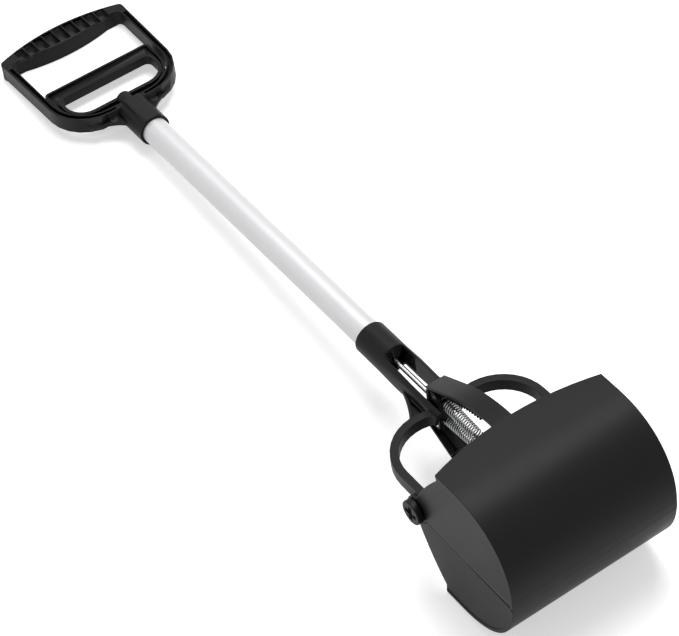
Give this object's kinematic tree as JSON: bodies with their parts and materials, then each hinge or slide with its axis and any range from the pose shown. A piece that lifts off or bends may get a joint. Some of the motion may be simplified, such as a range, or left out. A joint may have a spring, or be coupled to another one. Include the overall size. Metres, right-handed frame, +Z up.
{
  "type": "pooper scooper",
  "caption": "Long-handled pet waste scooper: pulling the trigger in the D-grip draws a rod through the tube and opens two sprung jaws.",
  "frame": {"origin": "middle of the bounding box, on the surface that the tool lies on", "axes": "+X along the tool from the grip to the jaws' tip, laid level with the floor, +Y along the jaws' pivot, +Z up; the tool lies on its back with its front up"},
  "size_m": [0.699, 0.149, 0.1255],
  "materials": {
    "black_plastic": "satin black moulded polypropylene with a faint sheen",
    "tube_aluminium": "satin silver anodised tube",
    "zinc_steel": "bright zinc plated steel"
  },
  "bodies": {
    "frame": {"grip_frame": "black_plastic", "grip_screw": "zinc_steel", "tube": "tube_aluminium", "upper_rod_bush": "black_plastic", "lower_rod_bush": "black_plastic", "yoke": "black_plastic", "yoke_screw": "zinc_steel", "pivot_axle": "zinc_steel", "left_pivot_cap": "black_plastic", "right_pivot_cap": "black_plastic", "front_spring": "zinc_steel", "rear_spring": "zinc_steel"},
    "trigger_rod": {"trigger": "black_plastic", "trigger_pin": "zinc_steel", "pull_rod": "zinc_steel", "crosshead": "black_plastic", "crosshead_pin": "zinc_steel", "front_link_pin": "zinc_steel", "rear_link_pin": "zinc_steel"},
    "front_link": {"front_link": "black_plastic"},
    "rear_link": {"rear_link": "black_plastic"},
    "front_jaw": {"front_jaw": "black_plastic", "front_jaw_pin": "zinc_steel", "front_jaw_clip": "zinc_steel"},
    "rear_jaw": {"rear_jaw": "black_plastic", "rear_jaw_pin": "zinc_steel", "rear_jaw_clip": "zinc_steel"}
  },
  "joints": [
    {"name": "trigger_slide", "type": "slide", "parent": "frame", "child": "trigger_rod", "axis": [-0.9958, 0, -0.091], "range_m": [0, 0.03], "stiffness_N_per_m": 900, "springref_m": -0.02, "deforming": ["front_spring", "rear_spring"]},
    {"name": "front_jaw_hinge", "type": "hinge", "parent": "frame", "child": "front_jaw", "pos_m": [0.2438, 0, 0.05966], "axis": [0, -1, 0], "range_deg": [0, 36.78]},
    {"name": "rear_jaw_hinge", "type": "hinge", "parent": "frame", "child": "rear_jaw", "pos_m": [0.2438, 0, 0.05966], "axis": [0, 1, 0], "range_deg": [0, 36.78]},
    {"name": "front_link_hinge", "type": "hinge", "parent": "trigger_rod", "child": "front_link", "pos_m": [0.17979, 0, 0.06787], "axis": [0, -1, 0], "range_deg": [0, 5.75]},
    {"name": "rear_link_hinge", "type": "hinge", "parent": "trigger_rod", "child": "rear_link", "pos_m": [0.18233, 0, 0.03998], "axis": [0, 1, 0], "range_deg": [0, 5.75]}
  ],
  "couplings": [
    {"joint": "front_jaw_hinge", "follows": "trigger_slide", "rad_per_m": 21.395},
    {"joint": "rear_jaw_hinge", "follows": "trigger_slide", "rad_per_m": 21.395},
    {"joint": "front_link_hinge", "follows": "trigger_slide", "rad_per_m": 3.34},
    {"joint": "rear_link_hinge", "follows": "trigger_slide", "rad_per_m": 3.34}
  ]
}
